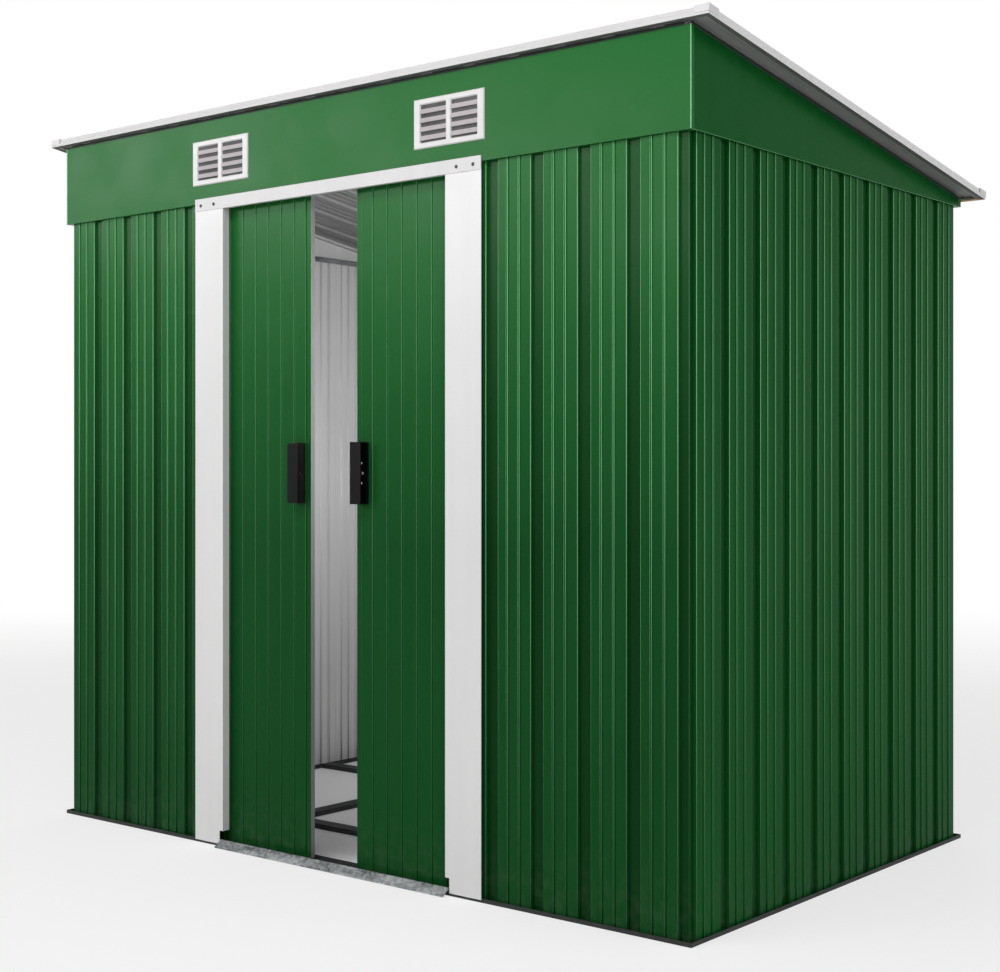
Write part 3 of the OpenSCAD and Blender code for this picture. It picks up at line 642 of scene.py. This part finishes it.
for name, (node, side, first, ribs, lapped) in sheetSetup.items():
    low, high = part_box(node)
    toSheet = sideFrames[side].inverted()
    ends = sorted((toSheet @ corner).x for corner in (low, high))
    makeSheet(name, node, sideFrames[side], {
        "start": ends[0], "end": ends[1], "first": first, "ribs": ribs, "crest": wallDepth,
        "foot": low.z, "height": high.z - low.z, "lap": lapWidth if lapped else 0.0})

roofReach = {"front": 0.0154, "rear": 0.036}  # over the base's edges, measured level
roofStart = -roofReach["front"] / math.cos(roofSlope)
roofEnd = (edgeRear - edgeFront + sum(roofReach.values())) / math.cos(roofSlope) + roofStart
toDown = Matrix.Rotation(-math.pi / 2, 4, "X")
for number, (a, b) in enumerate(zip(roofSheetSetup["firstRibs"], roofSheetSetup["lastRibs"])):
    node = f"roof_sheet_{number + 1}"
    low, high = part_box(node)
    length = roofEnd - roofStart - 2 * roofSheetSetup["back"]
    makeSheet(f"roofSheet{number + 1}", node, roofFrame @ toDown, {
        "start": low.x, "end": high.x, "first": roofSheetSetup["firstRib"] + a * ribSetup["pitch"],
        "ribs": b - a, "crest": -roofSheetSetup["crestRise"], "lap": lapWidth if number else 0.0,
        "foot": roofStart + roofSheetSetup["back"], "height": length})
print("ribbed sheets done")


flatBelow = math.radians(0.6)  # faces that meet at less are one face
roundAbove = math.radians(25.0)  # edges that turn by more are rounded


# A copy of CAD nodes as one mesh, with its folds and edges rounded
def softenNodes(name, nodes, width, segments=2):
    work = bmesh.new()
    for node in nodes:
        before = len(work.verts)
        work.from_mesh(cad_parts[node].data)
        bmesh.ops.remove_doubles(work, verts=list(work.verts)[before:], dist=2e-6)
    bmesh.ops.dissolve_limit(work, angle_limit=flatBelow, verts=work.verts, edges=work.edges)
    mesh = bpy.data.meshes.new(name)
    work.to_mesh(mesh)
    work.free()
    shape = addObject(name + "Shape", mesh)
    bevel = shape.modifiers.new("edges", "BEVEL")
    bevel.width = width
    bevel.segments = segments
    bevel.limit_method = "ANGLE"
    bevel.angle_limit = roundAbove
    bevel.use_clamp_overlap = True
    result = takeResult(name, shape)
    splitFaces(result)
    keepInside(result, nodes)
    smoothFolds(result, width * bevelShare)
    return result


# Cuts a mesh's faces along a plane and keeps both halves
def cutMesh(mesh, place, direction):
    work = bmesh.new()
    work.from_mesh(mesh)
    bmesh.ops.bisect_plane(work, geom=work.verts[:] + work.edges[:] + work.faces[:], dist=1e-6,
                           plane_co=place, plane_no=direction)
    work.to_mesh(mesh)
    work.free()


# Cuts faces with many corners, some of them notched, into triangles
def splitFaces(mesh):
    work = bmesh.new()
    work.from_mesh(mesh)
    whole = [face for face in work.faces if len(face.verts) > 4]
    for face in whole:
        corners = list(face.verts)
        for triangle in tessellate_polygon([[corner.co for corner in corners]]):
            part = work.faces.new([corners[i] for i in triangle])
            if part.normal.length == 0:
                part.normal_update()
            if part.normal.dot(face.normal) < 0:
                part.normal_flip()
    bmesh.ops.delete(work, geom=whole, context="FACES_ONLY")
    work.to_mesh(mesh)
    work.free()


# Holds a mesh within the box of the nodes that it stands for
def keepInside(mesh, nodes):
    boxes = [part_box(node) for node in nodes]
    low = [min(box[0][axis] for box in boxes) for axis in range(3)]
    high = [max(box[1][axis] for box in boxes) for axis in range(3)]
    for vertex in mesh.vertices:
        vertex.co = [min(max(vertex.co[axis], low[axis]), high[axis]) for axis in range(3)]


# Gives faces a second finish where a rule on their middle and direction holds
def paintFaces(mesh, materials, rule):
    mesh.materials.clear()
    for material in materials:
        mesh.materials.append(finishes[material])
    for face in mesh.polygons:
        face.material_index = rule(face.center, face.normal) if rule else 0


foldedSetup = {
    # piece: (nodes, body, record slot, finish, edge radius in metres)
    "baseRails": (["base_rail_front", "base_rail_rear", "base_rail_left", "base_rail_right"],
                  "shed", "dark_steel", "darkCoating", 0.0004),
    "foundationBars": (["foundation_bars_long", "foundation_bars_short"],
                       "shed", "dark_steel", "darkCoating", 0.0004),
    "doorSill": (["door_sill"], "shed", "galvanised_steel", "stainedZinc", 0.0004),
    "doorHeader": (["door_header"], "shed", "white_paint", "shadedTrimPaint", 0.0004),
    "doorJambs": (["door_jamb_left", "door_jamb_right"], "shed", "white_paint", "whitePaint", 0.0004),
    "doorTopTrack": (["door_top_track"], "shed", "galvanised_steel", "galvanised", 0.0004),
    "topRails": (["top_rails"], "shed", "galvanised_steel", "galvanised", 0.0004),
    "roofCornerCaps": (["roof_corner_caps"], "shed", "white_plastic", "whitePlastic", 0.0004),
    "leftDoorHangers": (["left_door_hangers"], "left_door", "galvanised_steel", "galvanised", 0.0004),
    "rightDoorHangers": (["right_door_hangers"], "right_door", "galvanised_steel", "galvanised", 0.0004),
    "leftDoorGlides": (["left_door_glides"], "left_door", "black_plastic", "blackPlastic", 0.0008),
    "rightDoorGlides": (["right_door_glides"], "right_door", "black_plastic", "blackPlastic", 0.0008),
}

for name, (nodes, body, slot, finish, width) in foldedSetup.items():
    mesh = softenNodes(name, nodes, width)
    paintFaces(mesh, [finish], None)
    putPiece(name, mesh, body, nodes)
print("folded pieces done")

skinSetup = {
    # green outside and pale grey inside: (node, body, edge radius, inward direction, finish)
    "frontFascia": ("front_fascia", "shed", 0.0014, (0, 1, 0), "greenFront"),
    "rearFascia": ("rear_fascia", "shed", 0.0004, (0, -1, 0), "greenPaint"),
    "leftGable": ("left_gable", "shed", 0.0005, (1, 0, 0), "greenPaint"),
    "rightGable": ("right_gable", "shed", 0.0005, (-1, 0, 0), "greenPaint"),
    "leftDoorPanel": ("left_door_panel", "left_door", 0.0005, (0, 1, 0), "greenFront"),
    "rightDoorPanel": ("right_door_panel", "right_door", 0.0005, (0, 1, 0), "greenFront"),
    "leftDoorRails": ("left_door_rails", "left_door", 0.0005, (0, 1, 0), "greenFront"),
    "rightDoorRails": ("right_door_rails", "right_door", 0.0005, (0, 1, 0), "greenFront"),
}
cornerHighlightWidth = 0.0026  # width at each end of the front fascia's face that gets a painted highlight for its corner fold
doorEdgeDepth = 0.004  # a door's returns further back than this get the painted-shade grey too
flangeRise = 0.005  # flat faces higher than this above a fascia's foot belong to its top flange
# strength of the painted highlight on the doors' folds
doorFoldTone = 0.75

for name, (node, body, width, inward, finish) in skinSetup.items():
    mesh = softenNodes(name, [node], width)
    inwards = Vector(inward)
    isDoor = body != "shed"
    low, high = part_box(node)
    edgeY = low.y + doorEdgeDepth
    flangeZ = low.z + flangeRise

    def insideOrReturn(middle, normal):
        isFlange = not isDoor and abs(normal.z) > 0.5 and middle.z > flangeZ
        if isFlange or normal.dot(inwards) > 0.5:
            return 1
        return 2 * int(isDoor and middle.y > edgeY and abs(normal.x) > 0.9)

    endX = math.inf
    if name == "frontFascia":
        endX = high.x - cornerHighlightWidth
        for place in (endX, -endX):
            cutMesh(mesh, (place, 0, 0), (1, 0, 0))
    paintFaces(mesh, [finish, "paleGreyPaint", "shadedGreyEdgePaint"], insideOrReturn)
    markTones(mesh, width * bevelShare, foldTone=doorFoldTone if isDoor else 1.0, endX=endX)
    putPiece(name, mesh, body, [node])

# The rails under the roof are painted dark on their outer sides, as painted shade under the roof, and pale
# elsewhere
railSetup = {"edge": 0.0004, "darkSide": 0.001, "darkFront": 0.004}

roofRails = softenNodes("roofRails", ["roof_rails"], railSetup["edge"])
railLow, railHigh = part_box("roof_rails")
railSide = railHigh.x - railSetup["darkSide"]
railFront = railLow.y + railSetup["darkFront"]


def shadedOuterRail(middle, normal):
    return int(abs(middle.x) > railSide or (middle.y < railFront and normal.y < -0.9))


paintFaces(roofRails, ["paleGreyPaint", "darkCoating"], shadedOuterRail)
putPiece("roofRails", roofRails, "shed", ["roof_rails"])

trimSetup = {
    # piece: (node, finish outside, finish inside and below, outward direction along the roof)
    "roofTrimFront": ("roof_trim_front", "shadedTrimPaint", "shadedBackPaint", (0, -1, 0)),
    "roofTrimRear": ("roof_trim_rear", "whitePaint", "tanPrimer", (0, 1, 0)),
    "roofTrimLeft": ("roof_trim_left", "whitePaint", "shadedBackPaint", (-1, 0, 0)),
    "roofTrimRight": ("roof_trim_right", "whitePaint", "shadedBackPaint", (1, 0, 0)),
}

trimEdge = 0.0004
trimSplit = 0.010  # height in the roof's frame below which a trim's inner side is not painted white
toRoof = roofFrame.inverted()

for name, (node, outside, inside, outward) in trimSetup.items():
    mesh = softenNodes(name, [node], trimEdge)
    cutMesh(mesh, roofFrame @ Vector((0, 0, trimSplit)), roofFrame.col[2].xyz)
    out = roofFrame.to_3x3() @ Vector(outward)

    def innerOrBelow(middle, normal):
        return int(normal.z < -0.5 or (normal.dot(out) < -0.5 and (toRoof @ middle).z < trimSplit))

    paintFaces(mesh, [outside, inside], innerOrBelow)
    putPiece(name, mesh, "shed", [node])
print("painted skins done")

ventSetup = {
    "width": 0.200, "side": 0.020, "edge": 0.013, "bar": 0.016, "chamfer": 0.0022,
    "slats": 4, "chord": 0.0158, "thickness": 0.0016, "tilt": 72.0, "setback": 0.0026,
    "topGap": 0.25, "footGap": 0.625,  # over and under the slats, as shares of their pitch
    "into": 0.001, "shadeSheetBack": 0.0002,  # how far slats and the dark shade sheets reach behind the frame
}


def slatTree():
    tree, given = startTree("ventSlats", {
        "count": 4, "pitch": 0.018, "width": 0.07, "chord": 0.012, "thickness": 0.0014, "tilt": 0.9,
        "finish": finishes["shadedSlatPlastic"]})
    line = addNode(tree, "GeometryNodeMeshLine", {"mode": "OFFSET"}, Count=given["count"],
                   Offset=vectorNode(tree, 0.0, 0.0, given["pitch"]))
    slat = addNode(tree, "GeometryNodeMeshCube",
                   Size=vectorNode(tree, given["width"], given["thickness"], given["chord"]))
    onPoints = addNode(tree, "GeometryNodeInstanceOnPoints", Points=line.outputs[0],
                       Instance=slat.outputs[0], Rotation=vectorNode(tree, given["tilt"]))
    everywhere = addNode(tree, "GeometryNodeInstanceOnPoints", Points=given["Geometry"],
                         Instance=onPoints.outputs[0])
    real = addNode(tree, "GeometryNodeRealizeInstances", Geometry=everywhere.outputs[0])
    endTree(tree, paintNode(tree, real.outputs[0], given["finish"]))
    return tree


def ventFrames(setup, lefts, low, high):
    work = bmesh.new()
    for left in lefts:
        width = high.x - lefts[-1]
        half = (width - 2 * setup["side"] - setup["bar"]) / 2
        first = left + setup["side"]
        second = first + half + setup["bar"]
        columns = [left, first, first + half, second, second + half, left + width]
        rows = [low.z, low.z + setup["edge"], high.z - setup["edge"], high.z]
        grid = {}
        for y in (low.y, high.y):
            for i, x in enumerate(columns):
                for j, z in enumerate(rows):
                    grid[i, j, y] = work.verts.new((x, y, z))
        gaps = {(1, 1), (3, 1)}
        for i in range(5):
            for j in range(3):
                if (i, j) in gaps:
                    for (a, b), (c, d) in (((i, j), (i + 1, j)), ((i + 1, j), (i + 1, j + 1)),
                                           ((i + 1, j + 1), (i, j + 1)), ((i, j + 1), (i, j))):
                        work.faces.new((grid[a, b, low.y], grid[a, b, high.y], grid[c, d, high.y],
                                        grid[c, d, low.y]))
                    continue
                for y in (low.y, high.y):
                    work.faces.new((grid[i, j, y], grid[i + 1, j, y],
                                    grid[i + 1, j + 1, y], grid[i, j + 1, y]))
        ring = ([(i, 0) for i in range(5)] + [(5, j) for j in range(3)]
                + [(i, 3) for i in range(5, 0, -1)] + [(0, j) for j in range(3, 0, -1)])
        for (a, b), (c, d) in zip(ring, ring[1:] + ring[:1]):
            work.faces.new((grid[a, b, low.y], grid[c, d, low.y], grid[c, d, high.y], grid[a, b, high.y]))
    bmesh.ops.recalc_face_normals(work, faces=work.faces)
    bmesh.ops.dissolve_limit(work, angle_limit=0.01, verts=work.verts, edges=work.edges)
    front = [e for e in work.edges if all(abs(v.co.y - low.y) < 1e-6 for v in e.verts)
             and len(e.link_faces) == 2 and e.calc_face_angle() > 0.5]
    bmesh.ops.bevel(work, geom=front, offset=setup["chamfer"], segments=1, affect="EDGES",
                    clamp_overlap=True)
    mesh = bpy.data.meshes.new("ventFrames")
    work.to_mesh(mesh)
    work.free()
    mesh.materials.append(finishes["whitePlastic"])
    return mesh


ventLow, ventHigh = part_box("vents")
ventLefts = [ventLow.x, ventHigh.x - ventSetup["width"]]
frames = ventFrames(ventSetup, ventLefts, ventLow, ventHigh)
putPiece("ventFrames", frames, "shed", ["vents"])

halfWidth = (ventSetup["width"] - 2 * ventSetup["side"] - ventSetup["bar"]) / 2
clearHeight = ventHigh.z - ventLow.z - 2 * ventSetup["edge"]
slatPitch = clearHeight / (ventSetup["slats"] + ventSetup["topGap"])
slatFoot = ventLow.z + ventSetup["edge"] + slatPitch * ventSetup["footGap"]
slatPoints = []
for left in ventLefts:
    for offset in (0, halfWidth + ventSetup["bar"]):
        slatPoints.append((left + ventSetup["side"] + halfWidth / 2 + offset,
                           ventLow.y + ventSetup["setback"], slatFoot))
slats = growMesh("ventSlats", slatTree(), {
    "count": ventSetup["slats"], "pitch": slatPitch, "width": halfWidth + 2 * ventSetup["into"],
    "chord": ventSetup["chord"], "thickness": ventSetup["thickness"],
    "tilt": -math.radians(90.0 - ventSetup["tilt"])}, slatPoints)
putPiece("ventSlats", slats, "shed")

# A dark sheet behind each opening, as painted shade between the slats
shadeCorners, shadeFaces = [], []
for point in slatPoints:
    for dx, z in ((-1, ventLow.z), (1, ventLow.z), (1, ventHigh.z), (-1, ventHigh.z)):
        inset = ventSetup["edge"] - ventSetup["into"]
        z += inset if z == ventLow.z else -inset
        shadeCorners.append((point[0] + dx * (halfWidth / 2 + ventSetup["into"]),
                              ventHigh.y - ventSetup["shadeSheetBack"], z))
    shadeFaces.append(tuple(range(len(shadeCorners) - 4, len(shadeCorners))))
shadeSheets = bpy.data.meshes.new("ventShadeSheets")
shadeSheets.from_pydata(shadeCorners, [], shadeFaces)
shadeSheets.materials.append(finishes["ventShadeDark"])
putPiece("ventShadeSheets", shadeSheets, "shed")
print("vents done")

handleSetup = {
    "edge": 0.0012, "ring": 0.0068, "ringWire": 0.0012, "ringSides": 10, "ringSteps": 32,
    "ringRise": 0.6,  # as a share of the wire's radius
    "ringInset": 0.0002, "ringDepth": 0.0004,
    "smoothArea": 6e-5,  # faces larger than this, in square metres, stay flat
    "highlightDepth": 0.002,
}


# A ring around the padlock hole, standing on the web's side that faces the other door
def eyeletRing(work, middle, setup):
    steps, sides = setup["ringSteps"], setup["ringSides"]
    rows = []
    for i in range(steps):
        turn = 2 * math.pi * i / steps
        row = []
        for j in range(sides):
            around = 2 * math.pi * j / sides
            reach = setup["ring"] - setup["ringWire"] + setup["ringWire"] * math.cos(around)
            row.append(work.verts.new((middle.x + setup["ringWire"] * setup["ringRise"] * math.sin(around),
                                       middle.y + reach * math.cos(turn),
                                       middle.z + reach * math.sin(turn))))
        rows.append(row)
    for i in range(steps):
        for j in range(sides):
            work.faces.new((rows[i][j], rows[(i + 1) % steps][j], rows[(i + 1) % steps][(j + 1) % sides],
                            rows[i][(j + 1) % sides]))


for side, webIsHigh in (("left", True), ("right", False)):
    node = f"{side}_door_handle"
    low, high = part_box(node)
    mesh = softenNodes(f"{side}DoorHandle", [node], handleSetup["edge"], segments=3)
    for face in mesh.polygons:
        face.use_smooth = face.area < handleSetup["smoothArea"]
    work = bmesh.new()
    work.from_mesh(mesh)
    inwardStep = handleSetup["ringInset"] + handleSetup["ringDepth"]
    ringX = high.x - inwardStep if webIsHigh else low.x + inwardStep
    eyeletRing(work, Vector((ringX, (low.y + high.y) / 2, (low.z + high.z) / 2)), handleSetup)
    bmesh.ops.recalc_face_normals(work, faces=work.faces)
    work.to_mesh(mesh)
    work.free()
    frontFold = low.y + handleSetup["highlightDepth"]

    # the left handle's front fold gets a painted highlight
    def highlightEdge(middle, normal):
        return int(webIsHigh and middle.y < frontFold and normal.x > 0.25 and abs(normal.z) < 0.1)

    paintFaces(mesh, ["blackPlastic", "highlightPlastic"], highlightEdge)
    putPiece(f"{side}DoorHandle", mesh, f"{side}_door", [node])
print("handles done")

screwSetup = {
    "head": 0.0042, "rise": 0.0020, "washer": 0.0, "washerRise": 0.0008,
    "slot": 0.0042, "slotWidth": 0.0010,
}


def screwTree():
    tree, given = startTree("screws", {**screwSetup, "turn": 0.0, "finish": finishes["zincPlate"],
                                       "recess": finishes["screwRecess"]})
    washer = addNode(tree, "GeometryNodeMeshCylinder", {"fill_type": "NGON"}, Vertices=16,
                     Radius=given["washer"], Depth=given["washerRise"])
    washerMiddle = mathNode(tree, "MULTIPLY", given["washerRise"], 0.5)
    washerUp = addNode(tree, "GeometryNodeTransform", Geometry=washer.outputs[0],
                       Translation=vectorNode(tree, 0.0, 0.0, washerMiddle))
    head = addNode(tree, "GeometryNodeMeshCone", {"fill_type": "NGON"}, Vertices=14, Depth=given["rise"],
                   Radius_Top=mathNode(tree, "MULTIPLY", given["head"], 0.72), Radius_Bottom=given["head"])
    cuts = []
    for sides in (("slot", "slotWidth"), ("slotWidth", "slot")):
        size = vectorNode(tree, *(given[side] for side in sides), 0.0003)
        cuts.append(addNode(tree, "GeometryNodeMeshCube", Size=size).outputs[0])
    cross = addNode(tree, "GeometryNodeTransform", Geometry=joinNode(tree, *cuts),
                    Translation=vectorNode(tree, 0.0, 0.0, given["rise"]))
    marked = addNode(tree, "GeometryNodeStoreNamedAttribute", {"data_type": "BOOLEAN", "domain": "FACE"},
                     Geometry=cross.outputs[0], Name="recess", Value=True)
    whole = joinNode(tree, washerUp.outputs[0], head.outputs[0], marked.outputs[0])
    normal = addNode(tree, "GeometryNodeInputNormal").outputs[0]
    facing = addNode(tree, "FunctionNodeAlignRotationToVector", {"axis": "Z"}, Vector=normal)
    spin = addNode(tree, "FunctionNodeRandomValue", {"data_type": "FLOAT"})
    spin.inputs["Seed"].default_value = 7
    turned = addNode(tree, "FunctionNodeRotateRotation", {"rotation_space": "LOCAL"})
    tree.links.new(facing.outputs[0], turned.inputs[0])
    angle = mathNode(tree, "MULTIPLY", spin.outputs[1], 1.5)
    tree.links.new(vectorNode(tree, 0.0, 0.0, angle), turned.inputs[1])
    faces = addNode(tree, "GeometryNodeMeshToPoints", {"mode": "FACES"}, Mesh=given["Geometry"])
    capture = addNode(tree, "GeometryNodeCaptureAttribute", {"domain": "FACE"})
    capture.capture_items.new("ROTATION", "facing")
    tree.links.new(given["Geometry"], capture.inputs[0])
    tree.links.new(turned.outputs[0], capture.inputs[1])
    tree.links.new(capture.outputs[0], faces.inputs["Mesh"])
    heads = addNode(tree, "GeometryNodeInstanceOnPoints", Points=faces.outputs[0], Instance=whole,
                    Rotation=capture.outputs[1])
    real = addNode(tree, "GeometryNodeRealizeInstances", Geometry=heads.outputs[0])
    # the cross slots get the near-black painted shade
    isRecess = addNode(tree, "GeometryNodeInputNamedAttribute", {"data_type": "BOOLEAN"}, Name="recess")
    painted = paintNode(tree, real.outputs[0], given["finish"])
    endTree(tree, paintNode(tree, painted, given["recess"], isRecess.outputs[0]))
    return tree


screws = screwTree()


# Screws at places, each with the direction that its head faces
def putScrews(name, body, finish, places, sizes):
    corners, faces = [], []
    for place, facing in places:
        turn = Vector(facing).to_track_quat("Z", "Y")
        for dx, dy in ((-1, -1), (1, -1), (1, 1), (-1, 1)):
            corners.append(Vector(place) + turn @ Vector((dx * 0.001, dy * 0.001, 0)))
        faces.append(tuple(range(len(corners) - 4, len(corners))))
    mesh = growMesh(name, screws, {**screwSetup, **sizes, "finish": finishes[finish]}, corners, faces)
    return putPiece(name, mesh, body)


headerScrewSetup = {"insets": (0.0215, 0.0685), "rise": 0.013}

headerLow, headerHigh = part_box("door_header")
headerScrews = []
for side in (-1, 1):
    for inset in headerScrewSetup["insets"]:
        place = (side * (headerHigh.x - inset), headerLow.y, headerLow.z + headerScrewSetup["rise"])
        headerScrews.append((place, (0, -1, 0)))
putScrews("headerScrews", "shed", "darkScrew", headerScrews, {})

handleScrewSetup = {
    "places": ((0.0120, -0.0226), (0.0158, 0.0), (0.0120, 0.0226)),  # from the web, from the middle
    "flange": 0.003, "head": 0.0036, "rise": 0.0018,
}

for side, webIsHigh in (("left", True), ("right", False)):
    low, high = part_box(f"{side}_door_handle")
    outwards = -1 if webIsHigh else 1
    web = high.x if webIsHigh else low.x
    flangeY = high.y - handleScrewSetup["flange"]
    middle = (low.z + high.z) / 2
    places = [((web + outwards * inset, flangeY, middle + rise), (0, -1, 0))
              for inset, rise in handleScrewSetup["places"]]
    putScrews(f"{side}HandleScrews", f"{side}_door", "zincPlate", places,
              {key: handleScrewSetup[key] for key in ("head", "rise")})

# Screws with washers on the roof's crests, in three rows
roofScrewSetup = {"head": 0.0040, "rise": 0.0026, "washer": 0.0080, "washerRise": 0.0012, "slot": 0.0046}
roofScrewAt = 0.0415  # between a rib's two beads
roofScrewRows = (0.060, 0.5, 0.060)  # from the front edge, the share of the length, from the rear edge

crestZ = roofSheetSetup["crestRise"]
rowsDown = (roofStart + roofScrewRows[0], (roofStart + roofEnd) * roofScrewRows[1],
            roofEnd - roofScrewRows[2])
roofScrews = []
for rib in range(roofSheetSetup["lastRibs"][-1]):
    x = roofSheetSetup["firstRib"] + rib * ribSetup["pitch"] + roofScrewAt
    for y in rowsDown:
        roofScrews.append((roofFrame @ Vector((x, y, crestZ)), roofFrame.to_3x3() @ Vector((0, 0, 1))))
putScrews("roofScrews", "shed", "zincPlate", roofScrews, roofScrewSetup)
print("screws done")
